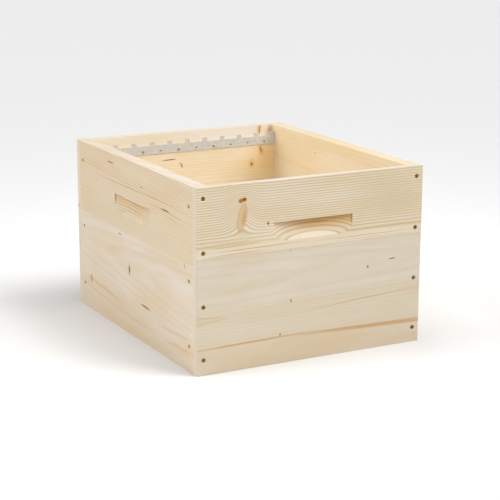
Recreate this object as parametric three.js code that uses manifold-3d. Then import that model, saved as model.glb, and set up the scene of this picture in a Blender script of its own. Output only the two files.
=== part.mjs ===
// Open hive body (brood box) for ten hanging frames, with no floor and no roof.
//
// Four walls, each glued up from an upper and a lower board, meet in rabbeted
// corners. The end walls lie across X and carry the frames: a rebate along the
// inside of their rims makes the frame rest, and a toothed steel strip nailed
// below it spaces the frames. Long screws go through the end walls into the side
// boards, and slanted nails go back through the side walls into the end walls.
//
// Units are millimetres, +Z is up. The origin is the centre of the box at its
// bottom edge. The end walls face -Y (front) and +Y (back).

import * as THREE from 'three';
import { mergeVertices } from 'three/addons/utils/BufferGeometryUtils.js';
import Module from 'manifold-3d';

const wasm = await Module();
wasm.setup();

// ---------------------------------------------------------------- dimensions

const BOX_WIDTH = 430; // outside, along X
const BOX_LENGTH = 500; // outside, along Y
const BOX_HEIGHT = 312;
const BOARD = 25; // thickness of every board
const LIP = BOARD / 2; // what the corner rabbet and the frame rest leave of a board

// Height of the glue line between the lower and the upper board of each wall.
const SEAM = { front: 194, back: 206, left: 180, right: 172 };

// Frame rest: a rebate along the inside of each end wall's rim.
const REST_DEPTH = 23;

// Toothed frame spacer.
const FRAME_COUNT = 10;
const FRAME_PITCH = 37;
const TOOTH_WIDTH = 10;
const TOOTH_HEIGHT = 7;
const TOOTH_CHAMFER = 1;
const STRIP_THICKNESS = 1;
const STRIP_TOP = BOX_HEIGHT - 12.8; // tip of the teeth
const STRIP_BOTTOM = BOX_HEIGHT - 36.5;
const STRIP_HOLE_RADIUS = 1.8;
const STRIP_HOLE_HEIGHT = BOX_HEIGHT - 31;
const NAILED_GAPS = [1, 3, 5, 7]; // gaps between teeth that hold a nail, from the back wall's left

// Handhold: a dished scoop in each wall, deepest in the middle of its flat top, that runs
// out below and towards both ends.
const HOLD_LENGTH = 151;
const HOLD_TOP = BOX_HEIGHT - 70;
const HOLD_HEIGHT = 33.5;
const HOLD_DEPTH = 14;
const HOLD_REACH = 84; // where the scoop would fade out, past its cut ends
const HOLD_FULLNESS = 2.6; // how square its depth is along the wall: 2 is a parabola
const HOLD_FLAT = 104; // length of the straight part of its lower boundary
const HOLD_CORNER = 13.5; // how far that boundary rises from there to each end
const HOLD_STEPS = 36;

// Corner screws, through the end walls.
const SCREW_LENGTH = 50;
const SCREW_HEAD_RADIUS = 3.5;
const SCREW_SHANK_RADIUS = 1.8;
const SCREW_HEAD_HEIGHT = 2.8;
const SCREW_RIM_HEIGHT = 0.56; // straight edge above the head's cone
const SCREW_POINT = 6;
const SCREW_SUNK = 4; // how far the head lies below the wood
const SCREW_INSET = 12.3; // from the side face to the screw's axis
const SCREW_COUNT = 4;
const SCREW_LOWEST = 26;
const SCREW_PITCH = 89.3;
const RECESS_WIDTH = 1.1; // of each arm of the cross in the screw's head
const RECESS_SPAN = 3.4;
const RECESS_DEPTH = 1.3;

// Corner nails, through the side walls, slanted into the end walls.
const NAIL_LENGTH = 50;
const NAIL_HEAD_RADIUS = 2.6;
const NAIL_SHANK_RADIUS = 1.3;
const NAIL_HEAD_HEIGHT = 1.4;
const NAIL_RIM_HEIGHT = 0.7;
const NAIL_POINT = 4;
const NAIL_SUNK = 1;
const NAIL_INSET = 28; // from the end wall's outside to the nail's head
const NAIL_SLANT = THREE.MathUtils.degToRad(20);
const NAIL_HEIGHTS = [44, 154, 277];

// Tacks that hold the spacer strips.
const TACK_LENGTH = 16;
const TACK_HEAD_RADIUS = 2.8;
const TACK_HEAD_HEIGHT = 0.9;
const TACK_SHANK_RADIUS = 1.1;
const TACK_POINT = 3;
const DOME_STEPS = 4;

const CLEARANCE = 0.3; // round every fastener
const FASTENER_SIDES = 12;
const HOLE_SEGMENTS = 12;
const OVERCUT = 1; // how far every cutter stands out of the face it opens
const SLANT_OVERCUT = 3; // the same for a cutter that meets the face at a slant

// ----------------------------------------------------------------- materials

function material(color, roughness, metalness) {
  return new THREE.MeshStandardMaterial({ color, roughness, metalness });
}

const wood = (tint) => material(tint, 0.7, 0);
const WOOD_TINTS = { front: 0xdccfb8, back: 0xdfcda8, left: 0xdecfbb, right: 0xdec9a0 };
const galvanised = () => material(0xbfbab0, 0.45, 0.85);
const yellowZinc = () => material(0x8a6a2c, 0.4, 0.9);
const brightSteel = () => material(0xb9b7b2, 0.35, 0.9);

// -------------------------------------------------------------- solid helpers

function toSolid(geometry) {
  const bare = geometry.clone();
  bare.deleteAttribute('normal');
  bare.deleteAttribute('uv');
  const merged = mergeVertices(bare, 1e-5);
  const mesh = new wasm.Mesh({
    numProp: 3,
    vertProperties: Float32Array.from(merged.attributes.position.array),
    triVerts: Uint32Array.from(merged.index.array),
  });
  return new wasm.Manifold(mesh);
}

function toGeometry(solid) {
  const mesh = solid.getMesh();
  const geometry = new THREE.BufferGeometry();
  geometry.setAttribute('position', new THREE.BufferAttribute(mesh.vertProperties, 3));
  geometry.setIndex(new THREE.BufferAttribute(mesh.triVerts, 1));
  geometry.computeVertexNormals();
  return geometry;
}

function box(x0, x1, y0, y1, z0, z1) {
  const geometry = new THREE.BoxGeometry(x1 - x0, y1 - y0, z1 - z0);
  geometry.translate((x0 + x1) / 2, (y0 + y1) / 2, (z0 + z1) / 2);
  return geometry;
}

function polygon(points) {
  return new THREE.Shape(points.map(([x, y]) => new THREE.Vector2(x, y)));
}

// A body of revolution about +Y: the profile's points are [radius, distance along the axis].
function turned(profile, sides = FASTENER_SIDES) {
  return new THREE.LatheGeometry(profile.map(([r, y]) => new THREE.Vector2(r, y)), sides);
}

// -------------------------------------------------------------------- walls

// A wall's own frame: x along the wall, +y into the box from the outside face, z up.
const WALLS = {
  front: { turn: 0, out: [0, -BOX_LENGTH / 2], span: BOX_WIDTH, carriesFrames: true },
  back: { turn: Math.PI, out: [0, BOX_LENGTH / 2], span: BOX_WIDTH, carriesFrames: true },
  left: { turn: -Math.PI / 2, out: [-BOX_WIDTH / 2, 0], span: BOX_LENGTH - 2 * LIP },
  right: { turn: Math.PI / 2, out: [BOX_WIDTH / 2, 0], span: BOX_LENGTH - 2 * LIP },
};

function toBox(geometry, wall) {
  geometry.rotateZ(wall.turn);
  geometry.translate(wall.out[0], wall.out[1], 0);
  return geometry;
}

// Plan of a board. The end walls lose the inner half of their ends to the corner rabbet.
function boardPlan(wall) {
  const half = wall.span / 2;
  if (!wall.carriesFrames) {
    return polygon([[-half, 0], [half, 0], [half, BOARD], [-half, BOARD]]);
  }
  const inner = half - BOARD;
  return polygon([
    [-half, 0],
    [half, 0],
    [half, LIP],
    [inner, LIP],
    [inner, BOARD],
    [-inner, BOARD],
    [-inner, LIP],
    [-half, LIP],
  ]);
}

function board(wall, bottom, top) {
  const geometry = new THREE.ExtrudeGeometry(boardPlan(wall), {
    depth: top - bottom,
    bevelEnabled: false,
  });
  geometry.translate(0, 0, bottom);
  return geometry;
}

// The cutter's sections across the wall are wedges, from nothing at the handhold's lower
// boundary to the local depth under its flat top edge.
function handholdCutter() {
  const bottom = HOLD_TOP - HOLD_HEIGHT;
  const positions = [];
  for (let step = 0; step <= HOLD_STEPS; step += 1) {
    const u = HOLD_LENGTH * (step / HOLD_STEPS - 0.5);
    const depth = HOLD_DEPTH * (1 - (Math.abs(u) / HOLD_REACH) ** HOLD_FULLNESS);
    const past = Math.max(0, (2 * Math.abs(u) - HOLD_FLAT) / (HOLD_LENGTH - HOLD_FLAT));
    const foot = bottom + HOLD_CORNER * past * past;
    positions.push(u, -OVERCUT, foot);
    positions.push(u, 0, foot);
    positions.push(u, depth, HOLD_TOP);
    positions.push(u, -OVERCUT, HOLD_TOP);
  }
  const last = HOLD_STEPS * 4;
  const faces = [0, 2, 1, 0, 3, 2];
  faces.push(last, last + 1, last + 2, last, last + 2, last + 3);
  for (let start = 0; start < last; start += 4) {
    for (let corner = 0; corner < 4; corner += 1) {
      const here = start + corner;
      const next = start + ((corner + 1) % 4);
      faces.push(here, next, next + 4, here, next + 4, here + 4);
    }
  }
  const scoop = new THREE.BufferGeometry();
  scoop.setAttribute('position', new THREE.Float32BufferAttribute(positions, 3));
  scoop.setIndex(faces);
  return toSolid(scoop);
}

// ---------------------------------------------------------------- fasteners

// Every fastener is turned about +Y with its head's top at y = 0 and its point at y = length.
// grow widens it into the hole it sits in, which is open above the head.
function countersunkScrew(grow = 0) {
  const head = SCREW_HEAD_RADIUS + grow;
  const shank = SCREW_SHANK_RADIUS + grow;
  const top = grow > 0 ? -SCREW_SUNK - OVERCUT : 0;
  return turned([
    [0, top],
    [head, top],
    [head, SCREW_RIM_HEIGHT + grow],
    [shank, SCREW_HEAD_HEIGHT + grow],
    [shank, SCREW_LENGTH - SCREW_POINT],
    [0, SCREW_LENGTH + grow],
  ]);
}

function screwWithRecess() {
  const slot = RECESS_WIDTH / 2;
  const arm = RECESS_SPAN / 2;
  const level = toSolid(box(-arm, arm, -OVERCUT, RECESS_DEPTH, -slot, slot));
  const upright = toSolid(box(-slot, slot, -OVERCUT, RECESS_DEPTH, -arm, arm));
  return toSolid(countersunkScrew()).subtract(level.add(upright));
}

function cornerNail(grow = 0) {
  const head = NAIL_HEAD_RADIUS + grow;
  const shank = NAIL_SHANK_RADIUS + grow;
  const top = grow > 0 ? -NAIL_SUNK - SLANT_OVERCUT : 0;
  return turned([
    [0, top],
    [head, top],
    [head, NAIL_RIM_HEIGHT + grow],
    [shank, NAIL_HEAD_HEIGHT + grow],
    [shank, NAIL_LENGTH - NAIL_POINT],
    [0, NAIL_LENGTH + grow],
  ]);
}

// Domed head, with its underside on the strip at y = 0 and its shank in the wood.
function tack() {
  const dome = [];
  for (let step = 0; step <= DOME_STEPS; step++) {
    const angle = (step / DOME_STEPS) * (Math.PI / 2);
    dome.push([TACK_HEAD_RADIUS * Math.sin(angle), -TACK_HEAD_HEIGHT * Math.cos(angle)]);
  }
  return turned([
    ...dome,
    [TACK_SHANK_RADIUS, 0],
    [TACK_SHANK_RADIUS, TACK_LENGTH - TACK_POINT],
    [0, TACK_LENGTH],
  ]);
}

function tackHole() {
  const radius = TACK_SHANK_RADIUS + CLEARANCE;
  return turned([
    [0, -OVERCUT],
    [radius, -OVERCUT],
    [radius, TACK_LENGTH - TACK_POINT],
    [0, TACK_LENGTH + CLEARANCE],
  ]);
}

// Where each fastener goes: a name, and a function that moves a turned shape into place.
function screwPlaces() {
  const places = [];
  for (const wallName of ['front', 'back']) {
    for (const side of [-1, 1]) {
      for (let row = 0; row < SCREW_COUNT; row++) {
        const x = side * (BOX_WIDTH / 2 - SCREW_INSET);
        const z = SCREW_LOWEST + row * SCREW_PITCH;
        const put = (geometry) => toBox(geometry.translate(x, SCREW_SUNK, z), WALLS[wallName]);
        places.push({ name: `screw_${wallName}_${cornerSide(wallName, side)}_${row + 1}`, put });
      }
    }
  }
  return places;
}

function nailPlaces() {
  const places = [];
  for (const wallName of ['left', 'right']) {
    for (const end of [-1, 1]) {
      NAIL_HEIGHTS.forEach((z, row) => {
        const x = end * (BOX_LENGTH / 2 - NAIL_INSET);
        const put = (geometry) => {
          geometry.translate(0, NAIL_SUNK, 0);
          geometry.rotateZ(-end * NAIL_SLANT);
          return toBox(geometry.translate(x, 0, z), WALLS[wallName]);
        };
        places.push({ name: `nail_${wallName}_${cornerSide(wallName, end)}_${row + 1}`, put });
      });
    }
  }
  return places;
}

// Names the corner at one end of a wall by the neighbour it meets there.
function cornerSide(wallName, end) {
  const [low, high] = {
    front: ['left', 'right'],
    back: ['right', 'left'],
    left: ['back', 'front'],
    right: ['front', 'back'],
  }[wallName];
  return end < 0 ? low : high;
}

function gapCentre(gap) {
  return (gap - (FRAME_COUNT + 1) / 2) * FRAME_PITCH;
}

function tackPlaces() {
  const places = [];
  for (const wallName of ['front', 'back']) {
    for (const gap of NAILED_GAPS) {
      // The tack points out of the box, from the strip's inner face into the wall.
      const put = (geometry) => {
        geometry.rotateZ(Math.PI);
        geometry.translate(-gapCentre(gap), BOARD + STRIP_THICKNESS, STRIP_HOLE_HEIGHT);
        return toBox(geometry, WALLS[wallName]);
      };
      places.push({ name: `tack_${wallName}_${gap}`, put });
    }
  }
  return places;
}

// ------------------------------------------------------------- spacer strip

function spacerStrip() {
  const half = (FRAME_COUNT * FRAME_PITCH + TOOTH_WIDTH) / 2;
  const notch = STRIP_TOP - TOOTH_HEIGHT;
  const outline = [[-half, STRIP_BOTTOM]];
  outline.push([half, STRIP_BOTTOM]);
  for (let tooth = FRAME_COUNT; tooth >= 0; tooth--) {
    const centre = (tooth - FRAME_COUNT / 2) * FRAME_PITCH;
    const right = centre + TOOTH_WIDTH / 2;
    const left = centre - TOOTH_WIDTH / 2;
    if (tooth < FRAME_COUNT) {
      outline.push([right, notch]);
    }
    outline.push([right, STRIP_TOP - TOOTH_CHAMFER]);
    outline.push([right - TOOTH_CHAMFER, STRIP_TOP]);
    outline.push([left + TOOTH_CHAMFER, STRIP_TOP]);
    outline.push([left, STRIP_TOP - TOOTH_CHAMFER]);
    if (tooth > 0) {
      outline.push([left, notch]);
    }
  }
  const shape = polygon(outline);
  for (let gap = 1; gap <= FRAME_COUNT; gap++) {
    const hole = new THREE.Path();
    hole.absarc(gapCentre(gap), STRIP_HOLE_HEIGHT, STRIP_HOLE_RADIUS, 0, 2 * Math.PI, true);
    shape.holes.push(hole);
  }
  const geometry = new THREE.ExtrudeGeometry(shape, {
    depth: STRIP_THICKNESS,
    bevelEnabled: false,
    curveSegments: HOLE_SEGMENTS,
  });
  geometry.rotateX(Math.PI / 2);
  geometry.translate(0, BOARD + STRIP_THICKNESS, 0);
  return geometry;
}

// ----------------------------------------------------------------- assembly

const group = new THREE.Group();

function addPart(name, geometry, look) {
  const mesh = new THREE.Mesh(geometry, look);
  mesh.name = name;
  group.add(mesh);
}

const screws = screwPlaces();
const nails = nailPlaces();
const tacks = tackPlaces();

const holes = [
  ...screws.map(({ put }) => toSolid(put(countersunkScrew(CLEARANCE)))),
  ...nails.map(({ put }) => toSolid(put(cornerNail(CLEARANCE)))),
  ...tacks.map(({ put }) => toSolid(put(tackHole()))),
];

const restCut = box(
  -BOX_WIDTH,
  BOX_WIDTH,
  LIP,
  BOARD + OVERCUT,
  BOX_HEIGHT - REST_DEPTH,
  BOX_HEIGHT + OVERCUT,
);

for (const [wallName, wall] of Object.entries(WALLS)) {
  const seam = SEAM[wallName];
  let lower = toSolid(toBox(board(wall, 0, seam), wall));
  let upper = toSolid(toBox(board(wall, seam, BOX_HEIGHT), wall));
  const hold = handholdCutter();
  upper = upper.subtract(toSolid(toBox(toGeometry(hold), wall)));
  if (wall.carriesFrames) {
    upper = upper.subtract(toSolid(toBox(restCut.clone(), wall)));
  }
  for (const hole of holes) {
    lower = lower.subtract(hole);
    upper = upper.subtract(hole);
  }
  addPart(`${wallName}_lower_board`, toGeometry(lower), wood(WOOD_TINTS[wallName]));
  addPart(`${wallName}_upper_board`, toGeometry(upper), wood(WOOD_TINTS[wallName]));
}

for (const wallName of ['front', 'back']) {
  addPart(`${wallName}_spacer_strip`, toBox(spacerStrip(), WALLS[wallName]), galvanised());
}

const recessedScrew = toGeometry(screwWithRecess());
for (const { name, put } of screws) {
  addPart(name, put(recessedScrew.clone()), yellowZinc());
}
for (const { name, put } of nails) {
  addPart(name, put(cornerNail()), brightSteel());
}
for (const { name, put } of tacks) {
  addPart(name, put(tack()), brightSteel());
}

export default group;
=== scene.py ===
"""Open hive body (brood box) in planed spruce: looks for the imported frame.

Every board, spacer strip and fastener of the frame is rebuilt as a finer mesh in the
same place, with softened edges, and gets a procedural material. A wall's own frame is
(u, v, z): u along the wall, v into the box from its outside face, z up. Meshes are in
metres. Wood is drawn in millimetres of the wall's own frame, so that growth rings run
right through a board and knots sit where they should.
"""

import math
from dataclasses import dataclass, field

import bmesh
import bpy
from mathutils import Matrix, Vector


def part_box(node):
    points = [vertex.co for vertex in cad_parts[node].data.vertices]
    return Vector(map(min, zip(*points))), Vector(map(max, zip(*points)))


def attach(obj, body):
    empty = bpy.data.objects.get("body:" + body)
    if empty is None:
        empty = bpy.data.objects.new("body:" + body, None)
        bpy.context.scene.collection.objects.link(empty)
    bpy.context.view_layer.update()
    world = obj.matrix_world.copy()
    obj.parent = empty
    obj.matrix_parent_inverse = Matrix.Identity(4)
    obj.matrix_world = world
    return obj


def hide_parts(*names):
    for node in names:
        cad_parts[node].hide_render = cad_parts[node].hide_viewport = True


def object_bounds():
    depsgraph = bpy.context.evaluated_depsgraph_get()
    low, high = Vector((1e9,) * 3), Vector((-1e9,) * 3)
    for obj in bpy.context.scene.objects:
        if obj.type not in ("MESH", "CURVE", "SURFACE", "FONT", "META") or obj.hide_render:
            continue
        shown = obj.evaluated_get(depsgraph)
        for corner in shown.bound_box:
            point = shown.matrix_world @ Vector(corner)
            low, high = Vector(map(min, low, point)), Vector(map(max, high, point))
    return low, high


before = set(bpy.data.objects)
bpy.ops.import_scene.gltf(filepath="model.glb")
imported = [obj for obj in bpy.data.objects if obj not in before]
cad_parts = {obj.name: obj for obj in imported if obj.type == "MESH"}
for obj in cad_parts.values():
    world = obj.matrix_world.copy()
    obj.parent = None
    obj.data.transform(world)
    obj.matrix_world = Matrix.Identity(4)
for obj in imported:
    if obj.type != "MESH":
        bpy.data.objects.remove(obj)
cad_low, cad_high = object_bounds()

# ---------------- dimensions

MM = 0.001

WALL_AXES = {
    "front": (Vector((1, 0, 0)), Vector((0, 1, 0))),
    "back": (Vector((1, 0, 0)), Vector((0, -1, 0))),
    "left": (Vector((0, 1, 0)), Vector((1, 0, 0))),
    "right": (Vector((0, 1, 0)), Vector((-1, 0, 0))),
}
END_WALLS = ("front", "back")

RIM = cad_high.z
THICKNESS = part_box("front_lower_board")[1].y - cad_low.y
LIP = THICKNESS / 2
REST_DEPTH = 23 * MM
OVERCUT = 1 * MM

# The handhold's floor would meet the wall's face at HOLD_REACH from its middle, and a
# higher HOLD_FULLNESS keeps it deep for longer. Its lower boundary is straight over
# HOLD_FLAT and has risen by HOLD_CORNER at the ends.
HOLD_LENGTH = 151 * MM
HOLD_TOP = RIM - 70 * MM
HOLD_HEIGHT = 33.5 * MM
HOLD_DEPTH = 14 * MM
HOLD_REACH = 84 * MM
HOLD_FULLNESS = 2.6
HOLD_FLAT = 104 * MM
HOLD_CORNER = 13.5 * MM
HOLD_STEPS = 60

OUTER_EDGE = 0.9 * MM
INNER_EDGE = 0.5 * MM
JOINT_EDGE = 0.15 * MM
STRIP_EDGE = 0.12 * MM
SAME_PLACE = 0.01 * MM

# Edges whose faces meet at more than EDGE_ANGLE can be rounded. Creases are in degrees.
EDGE_ANGLE = math.radians(20)
FLAT_CREASE = 22
ROUND_CREASE = 35

TOOTH_WIDTH = 10 * MM
TOOTH_HEIGHT = 7 * MM
TOOTH_ROUND = 1 * MM
FRAME_COUNT = 10
FRAME_PITCH = 37 * MM
STRIP_HOLE_RADIUS = 1.8 * MM

CLEARANCE = 0.3 * MM
NAIL_INSET = 28 * MM
NAIL_SUNK = 1 * MM
NAIL_SLANT = math.radians(20)

# ---------------- mesh helpers


def add_object(name, data):
    """A new object in the scene."""
    made = bpy.data.objects.new(name, data)
    bpy.context.scene.collection.objects.link(made)
    return made


def new_piece(name, mesh):
    """Turns a bmesh into an object of the scene."""
    data = bpy.data.meshes.new(name)
    bmesh.ops.recalc_face_normals(mesh, faces=mesh.faces)
    mesh.to_mesh(data)
    mesh.free()
    return add_object(name, data)


def prism(name, outline, low, high):
    """A closed prism on a plan outline, from height low to high."""
    mesh = bmesh.new()
    base = mesh.faces.new([mesh.verts.new((x, y, low)) for x, y in outline])
    raised = bmesh.ops.extrude_face_region(mesh, geom=[base])["geom"]
    top = [part for part in raised if isinstance(part, bmesh.types.BMVert)]
    bmesh.ops.translate(mesh, verts=top, vec=(0, 0, high - low))
    return new_piece(name, mesh)


def block(name, low, high):
    """A closed box between two corners."""
    (x0, y0, z0), (x1, y1, z1) = low, high
    return prism(name, [(x0, y0), (x1, y0), (x1, y1), (x0, y1)], z0, z1)


def turned(name, profile, sides):
    """A closed body of revolution about +Y, through (radius, distance) points."""
    mesh = bmesh.new()
    rings = []
    for radius, distance in profile:
        count = sides if radius > 0 else 1
        angles = [2 * math.pi * step / sides for step in range(count)]
        places = [(radius * math.cos(a), distance, radius * math.sin(a)) for a in angles]
        rings.append([mesh.verts.new(place) for place in places])
    for near, far in zip(rings, rings[1:]):
        for step in range(sides):
            after = step + 1
            corners = [near[step % len(near)], near[after % len(near)]]
            corners += [far[after % len(far)], far[step % len(far)]]
            mesh.faces.new(list(dict.fromkeys(corners)))
    return new_piece(name, mesh)


def settle(piece):
    """Applies the piece's modifiers."""
    ready = piece.evaluated_get(bpy.context.evaluated_depsgraph_get())
    finished = bpy.data.meshes.new_from_object(ready)
    old = piece.data
    piece.modifiers.clear()
    piece.data = finished
    finished.name = piece.name
    bpy.data.meshes.remove(old)


def carve(piece, cutter, operation="DIFFERENCE"):
    """Cuts the piece with another closed mesh, which is used up."""
    step = piece.modifiers.new("cut", "BOOLEAN")
    step.operation = operation
    step.solver = "EXACT"
    step.object = cutter
    settle(piece)
    bpy.data.objects.remove(cutter)


def move(piece, matrix):
    """Moves a piece's vertices and keeps its faces pointing out."""
    piece.data.transform(matrix)
    if matrix.determinant() < 0:
        piece.data.flip_normals()
    return piece


def soften(piece, width_of_edge, segments=2):
    """Rounds the edges by the width that width_of_edge gives for their two ends."""
    mesh = bmesh.new()
    mesh.from_mesh(piece.data)
    widths = {}
    for edge in mesh.edges:
        if edge.is_manifold and edge.calc_face_angle(0) > EDGE_ANGLE:
            width = width_of_edge(edge.verts[0].co, edge.verts[1].co)
            if width:
                widths[edge.index] = width
    widest = max(widths.values())
    layer = mesh.edges.layers.float.new("bevel_weight_edge")
    for edge in mesh.edges:
        edge[layer] = widths.get(edge.index, 0) / widest
    mesh.to_mesh(piece.data)
    mesh.free()
    step = piece.modifiers.new("edges", "BEVEL")
    step.limit_method = "WEIGHT"
    step.width = widest
    step.segments = segments
    settle(piece)


def smooth(piece, degrees):
    """Smooth shading, with creases where faces meet at more than that angle."""
    piece.data.polygons.foreach_set("use_smooth", [True] * len(piece.data.polygons))
    piece.data.set_sharp_from_angle(angle=math.radians(degrees))


def dress(piece, material, node):
    """Gives a finished piece its material, hangs it under the root body and hides the CAD node it
    stands for.
    """
    piece.data.materials.clear()
    piece.data.materials.append(material)
    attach(piece, "root")
    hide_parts(node)


def wall_matrix(wall):
    """From a wall's own frame to the box's."""
    along, inward = WALL_AXES[wall]
    rows = [(along[i], inward[i], (0, 0, 1)[i], 0) for i in range(3)]
    outside = inward * inward.dot(cad_low if sum(inward) > 0 else cad_high)
    return Matrix.Translation(outside) @ Matrix([*rows, (0, 0, 0, 1)])


# ---------------- boards


def board_outline(wall):
    """Plan of a board. End walls lose the inner half of their ends to the corner rabbet."""
    along, _ = WALL_AXES[wall]
    half = along.dot(cad_high)
    if wall not in END_WALLS:
        half -= LIP
        return [(-half, 0), (half, 0), (half, THICKNESS), (-half, THICKNESS)]
    inner = half - THICKNESS
    right = [(half, 0), (half, LIP), (inner, LIP), (inner, THICKNESS)]
    left = [(-u, v) for u, v in reversed(right)]
    return right + left


def handhold_cutter():
    """A dish under a flat top edge: runs out below, and is shallow at its two ends."""
    mesh = bmesh.new()
    bottom = HOLD_TOP - HOLD_HEIGHT
    sections = []
    for step in range(HOLD_STEPS + 1):
        u = HOLD_LENGTH * (step / HOLD_STEPS - 0.5)
        depth = HOLD_DEPTH * (1 - (abs(u) / HOLD_REACH) ** HOLD_FULLNESS)
        past = max(0, (2 * abs(u) - HOLD_FLAT) / (HOLD_LENGTH - HOLD_FLAT))
        foot = bottom + HOLD_CORNER * past**2
        corners = [(-OVERCUT, foot), (0, foot), (depth, HOLD_TOP), (-OVERCUT, HOLD_TOP)]
        sections.append([mesh.verts.new((u, v, z)) for v, z in corners])
    mesh.faces.new(sections[0])
    mesh.faces.new(sections[-1])
    for here, after in zip(sections, sections[1:]):
        for corner in range(4):
            turn = (corner + 1) % 4
            mesh.faces.new([here[corner], here[turn], after[turn], after[corner]])
    return new_piece("scoop", mesh)


def edge_width(wall, low, high):
    """How far each edge of a board is rounded: outside arrises most, glued joints least."""
    along, _ = WALL_AXES[wall]
    half = along.dot(cad_high)

    def width(a, b):
        def both(axis, value):
            return all(abs(abs(end[axis]) - value) < SAME_PLACE for end in (a, b))

        outside = both(1, 0)
        at_rim = high > RIM - SAME_PLACE and both(2, RIM)
        at_foot = low < SAME_PLACE and both(2, 0)
        if at_rim or at_foot:
            return OUTER_EDGE if outside or both(1, THICKNESS) or both(1, LIP) else JOINT_EDGE
        if outside and both(0, half):
            return OUTER_EDGE
        if (outside and both(2, HOLD_TOP)) or both(2, RIM - REST_DEPTH):
            return INNER_EDGE
        if both(2, low) or both(2, high):
            return 0
        return JOINT_EDGE if both(0, half - LIP) or both(0, half) else 0

    return width


def make_board(wall, level, materials):
    """One board of a wall, with its rebate, handhold, fastener and pilot holes."""
    node = f"{wall}_{level}_board"
    low, high = (corner.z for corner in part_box(node))
    board = prism(f"{node}_wood", board_outline(wall), low, high)
    if level == "upper":
        carve(board, handhold_cutter())
        if wall in END_WALLS:
            reach = cad_high.x + OVERCUT
            start = (-reach, LIP, RIM - REST_DEPTH)
            carve(board, block("rest", start, (reach, THICKNESS + OVERCUT, RIM + OVERCUT)))
    soften(board, edge_width(wall, low, high))
    move(board, wall_matrix(wall))
    box_low, box_high = (Vector(corner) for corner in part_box(node))
    for hole_low, hole_high, make_hole in fastener_holes():
        if all(hole_low[i] < box_high[i] and hole_high[i] > box_low[i] for i in range(3)):
            carve(board, make_hole())
    if level == "upper" and wall in END_WALLS:
        for hole in pilot_holes(wall):
            carve(board, hole)
    smooth(board, FLAT_CREASE)
    dress(board, materials[node], node)
    return board


# ---------------- fasteners


def axis_matrix(place, direction):
    """Turns a shape that lies along +Y to a direction in the level plane and puts it in place."""
    turn = math.atan2(-direction.x, direction.y)
    return Matrix.Translation(place) @ Matrix.Rotation(turn, 4, "Z")


def screw_place(node):
    """Where a screw's head is and which way it points, from its CAD node."""
    low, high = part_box(node)
    centre = (low + high) / 2
    inward = Vector((0, -math.copysign(1, centre.y), 0))
    head = low.y if inward.y > 0 else high.y
    return axis_matrix(Vector((centre.x, head, centre.z)), inward)


def nail_place(node):
    """Nails go in beside the corner and slant towards it."""
    low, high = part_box(node)
    centre = (low + high) / 2
    end = math.copysign(1, centre.y)
    side = math.copysign(1, centre.x)
    direction = Vector((-side * math.cos(NAIL_SLANT), end * math.sin(NAIL_SLANT), 0))
    entry = Vector((side * cad_high.x, end * (cad_high.y - NAIL_INSET), centre.z))
    return axis_matrix(entry + NAIL_SUNK * direction, direction)


def tack_place(node):
    """Tacks point out of the box through the spacer strip."""
    low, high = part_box(node)
    centre = (low + high) / 2
    outward = Vector((0, math.copysign(1, centre.y), 0))
    head = low.y if outward.y > 0 else high.y
    return axis_matrix(Vector((centre.x, head, centre.z)), outward)


SCREW_LENGTH = 50 * MM
SCREW_HEAD = 3.5 * MM
SCREW_SHANK = 1.8 * MM
SCREW_ROOT = 1.25 * MM
SCREW_HEAD_HEIGHT = 2.8 * MM
SCREW_POINT = 6 * MM
SCREW_SUNK = 4 * MM
THREAD_PITCH = 1.8 * MM
THREAD_START = 18 * MM
THREAD_FLANK = 0.4 * MM
RECESS_HALF_WIDTH = 0.5 * MM
RECESS_ARM = 1.75 * MM
RECESS_DEPTH = 1.6 * MM
RECESS_FOOT = RECESS_ARM * 0.45

NAIL_LENGTH = 50 * MM
NAIL_HEAD = 2.6 * MM
NAIL_SHANK = 1.3 * MM
NAIL_HEAD_HEIGHT = 1.4 * MM
NAIL_POINT = 4 * MM
NAIL_POCKET = 4 * MM

TACK_LENGTH = 16.9 * MM
TACK_HEAD = 2.8 * MM
TACK_HEAD_HEIGHT = 0.9 * MM
TACK_SHANK = 1.1 * MM
TACK_POINT = 3 * MM
TACK_DOME_STEPS = 8

HOLE_SIDES = 40
FASTENER_SIDES = 32
PILOT_HOLE = [(0, 0), (1.4 * MM, 0), (1.1 * MM, 7 * MM), (0, 9 * MM)]


def screw_hole():
    """Counterbore with a slightly crushed rim, cone and shank hole."""
    rim = SCREW_HEAD + CLEARANCE
    shank = SCREW_SHANK + CLEARANCE
    return [
        (0, -SCREW_SUNK - OVERCUT),
        (rim + 0.5 * MM, -SCREW_SUNK - OVERCUT),
        (rim + 0.3 * MM, -SCREW_SUNK),
        (rim, -SCREW_SUNK + 0.5 * MM),
        (rim, 0.9 * MM),
        (shank, SCREW_HEAD_HEIGHT + CLEARANCE),
        (shank, SCREW_LENGTH - SCREW_POINT),
        (0, SCREW_LENGTH + CLEARANCE),
    ]


def nail_hole():
    """Pocket above the nail's head and the hole for its shank."""
    rim = NAIL_HEAD + CLEARANCE
    shank = NAIL_SHANK + CLEARANCE
    return [
        (0, -NAIL_POCKET),
        (rim, -NAIL_POCKET),
        (rim, 1 * MM),
        (shank, NAIL_HEAD_HEIGHT + CLEARANCE),
        (shank, NAIL_LENGTH - NAIL_POINT),
        (0, NAIL_LENGTH + CLEARANCE),
    ]


def tack_hole():
    """Plain hole in the wood, from just above its face."""
    shank = TACK_SHANK + CLEARANCE
    start = 0.4 * MM
    return [
        (0, start),
        (shank, start),
        (shank, TACK_LENGTH - TACK_POINT),
        (0, TACK_LENGTH + CLEARANCE),
    ]


def nodes_named(start):
    """The frame's nodes whose names start that way."""
    return sorted(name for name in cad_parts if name.startswith(start))


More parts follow.
